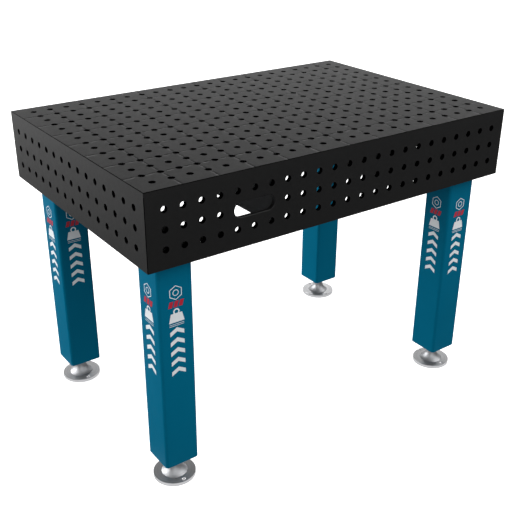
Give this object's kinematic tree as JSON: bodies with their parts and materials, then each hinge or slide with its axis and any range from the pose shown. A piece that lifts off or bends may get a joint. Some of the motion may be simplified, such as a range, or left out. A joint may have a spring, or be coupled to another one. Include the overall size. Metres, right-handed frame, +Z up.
{
  "type": "welding table",
  "caption": "Perforated steel welding table with a ribbed box top, square legs and screw levelling feet that can be anchored to the floor.",
  "frame": {"origin": "centre of the footprint, on the floor", "axes": "+X along the long side, -Y is the front with the hand slot, +Z up"},
  "size_m": [1.2, 0.8, 0.883],
  "materials": {
    "nitrided_plate": "plasma-nitrided charcoal steel plate, satin",
    "welded_frame": "dark nitrided ribs and brackets, matt",
    "leg_powder_coat": "petrol blue powder coat, satin",
    "turned_zinc": "lathe-turned, bright zinc plated",
    "zinc_fastener": "zinc plated",
    "bare_steel": "machined",
    "bronze": "turned bronze"
  },
  "bodies": {
    "table": {"top_plate": "nitrided_plate", "front_side_plate": "nitrided_plate", "rear_side_plate": "nitrided_plate", "left_side_plate": "nitrided_plate", "right_side_plate": "nitrided_plate", "cross_rib_left": "welded_frame", "cross_rib_right": "welded_frame", "long_rib_front": "welded_frame", "long_rib_rear": "welded_frame", "leg_mount_plate_front_left": "welded_frame", "corner_gussets_front_left": "welded_frame", "leg_tube_front_left": "leg_powder_coat", "leg_flange_front_left": "leg_powder_coat", "leg_end_plate_front_left": "leg_powder_coat", "spindle_bush_front_left": "bare_steel", "leg_mount_plate_front_right": "welded_frame", "corner_gussets_front_right": "welded_frame", "leg_tube_front_right": "leg_powder_coat", "leg_flange_front_right": "leg_powder_coat", "leg_end_plate_front_right": "leg_powder_coat", "spindle_bush_front_right": "bare_steel", "leg_mount_plate_rear_left": "welded_frame", "corner_gussets_rear_left": "welded_frame", "leg_tube_rear_left": "leg_powder_coat", "leg_flange_rear_left": "leg_powder_coat", "leg_end_plate_rear_left": "leg_powder_coat", "spindle_bush_rear_left": "bare_steel", "leg_mount_plate_rear_right": "welded_frame", "corner_gussets_rear_right": "welded_frame", "leg_tube_rear_right": "leg_powder_coat", "leg_flange_rear_right": "leg_powder_coat", "leg_end_plate_rear_right": "leg_powder_coat", "spindle_bush_rear_right": "bare_steel", "flange_bolts": "zinc_fastener", "flange_washers": "zinc_fastener", "flange_nuts": "zinc_fastener"},
    "foot_front_left": {"foot_plate_front_left": "turned_zinc", "foot_thrust_pad_front_left": "bronze", "foot_retaining_ring_front_left": "bare_steel"},
    "spindle_front_left": {"foot_spindle_front_left": "zinc_fastener"},
    "nut_front_left": {"lock_nut_front_left": "zinc_fastener"},
    "foot_front_right": {"foot_plate_front_right": "turned_zinc", "foot_thrust_pad_front_right": "bronze", "foot_retaining_ring_front_right": "bare_steel"},
    "spindle_front_right": {"foot_spindle_front_right": "zinc_fastener"},
    "nut_front_right": {"lock_nut_front_right": "zinc_fastener"},
    "foot_rear_left": {"foot_plate_rear_left": "turned_zinc", "foot_thrust_pad_rear_left": "bronze", "foot_retaining_ring_rear_left": "bare_steel"},
    "spindle_rear_left": {"foot_spindle_rear_left": "zinc_fastener"},
    "nut_rear_left": {"lock_nut_rear_left": "zinc_fastener"},
    "foot_rear_right": {"foot_plate_rear_right": "turned_zinc", "foot_thrust_pad_rear_right": "bronze", "foot_retaining_ring_rear_right": "bare_steel"},
    "spindle_rear_right": {"foot_spindle_rear_right": "zinc_fastener"},
    "nut_rear_right": {"lock_nut_rear_right": "zinc_fastener"}
  },
  "joints": [
    {"name": "foot_height_front_left", "type": "slide", "parent": "table", "child": "foot_front_left", "axis": [0, 0, -1], "range_m": [-0.007, 0.04]},
    {"name": "spindle_turn_front_left", "type": "hinge", "parent": "foot_front_left", "child": "spindle_front_left", "pos_m": [-0.505, -0.305, 0.048], "axis": [0, 0, -1], "range_deg": [-841, 4801]},
    {"name": "lock_nut_turn_front_left", "type": "hinge", "parent": "table", "child": "nut_front_left", "pos_m": [-0.505, -0.305, 0.062], "axis": [0, 0, -1], "range_deg": [0, 180]},
    {"name": "foot_height_front_right", "type": "slide", "parent": "table", "child": "foot_front_right", "axis": [0, 0, -1], "range_m": [-0.007, 0.04]},
    {"name": "spindle_turn_front_right", "type": "hinge", "parent": "foot_front_right", "child": "spindle_front_right", "pos_m": [0.505, -0.305, 0.048], "axis": [0, 0, -1], "range_deg": [-841, 4801]},
    {"name": "lock_nut_turn_front_right", "type": "hinge", "parent": "table", "child": "nut_front_right", "pos_m": [0.505, -0.305, 0.062], "axis": [0, 0, -1], "range_deg": [0, 180]},
    {"name": "foot_height_rear_left", "type": "slide", "parent": "table", "child": "foot_rear_left", "axis": [0, 0, -1], "range_m": [-0.007, 0.04]},
    {"name": "spindle_turn_rear_left", "type": "hinge", "parent": "foot_rear_left", "child": "spindle_rear_left", "pos_m": [-0.505, 0.305, 0.048], "axis": [0, 0, -1], "range_deg": [-841, 4801]},
    {"name": "lock_nut_turn_rear_left", "type": "hinge", "parent": "table", "child": "nut_rear_left", "pos_m": [-0.505, 0.305, 0.062], "axis": [0, 0, -1], "range_deg": [0, 180]},
    {"name": "foot_height_rear_right", "type": "slide", "parent": "table", "child": "foot_rear_right", "axis": [0, 0, -1], "range_m": [-0.007, 0.04]},
    {"name": "spindle_turn_rear_right", "type": "hinge", "parent": "foot_rear_right", "child": "spindle_rear_right", "pos_m": [0.505, 0.305, 0.048], "axis": [0, 0, -1], "range_deg": [-841, 4801]},
    {"name": "lock_nut_turn_rear_right", "type": "hinge", "parent": "table", "child": "nut_rear_right", "pos_m": [0.505, 0.305, 0.062], "axis": [0, 0, -1], "range_deg": [0, 180]}
  ],
  "couplings": [
    {"joint": "spindle_turn_front_left", "follows": "foot_height_front_left", "rad_per_m": 2094.4},
    {"joint": "spindle_turn_front_right", "follows": "foot_height_front_right", "rad_per_m": 2094.4},
    {"joint": "spindle_turn_rear_left", "follows": "foot_height_rear_left", "rad_per_m": 2094.4},
    {"joint": "spindle_turn_rear_right", "follows": "foot_height_rear_right", "rad_per_m": 2094.4}
  ]
}
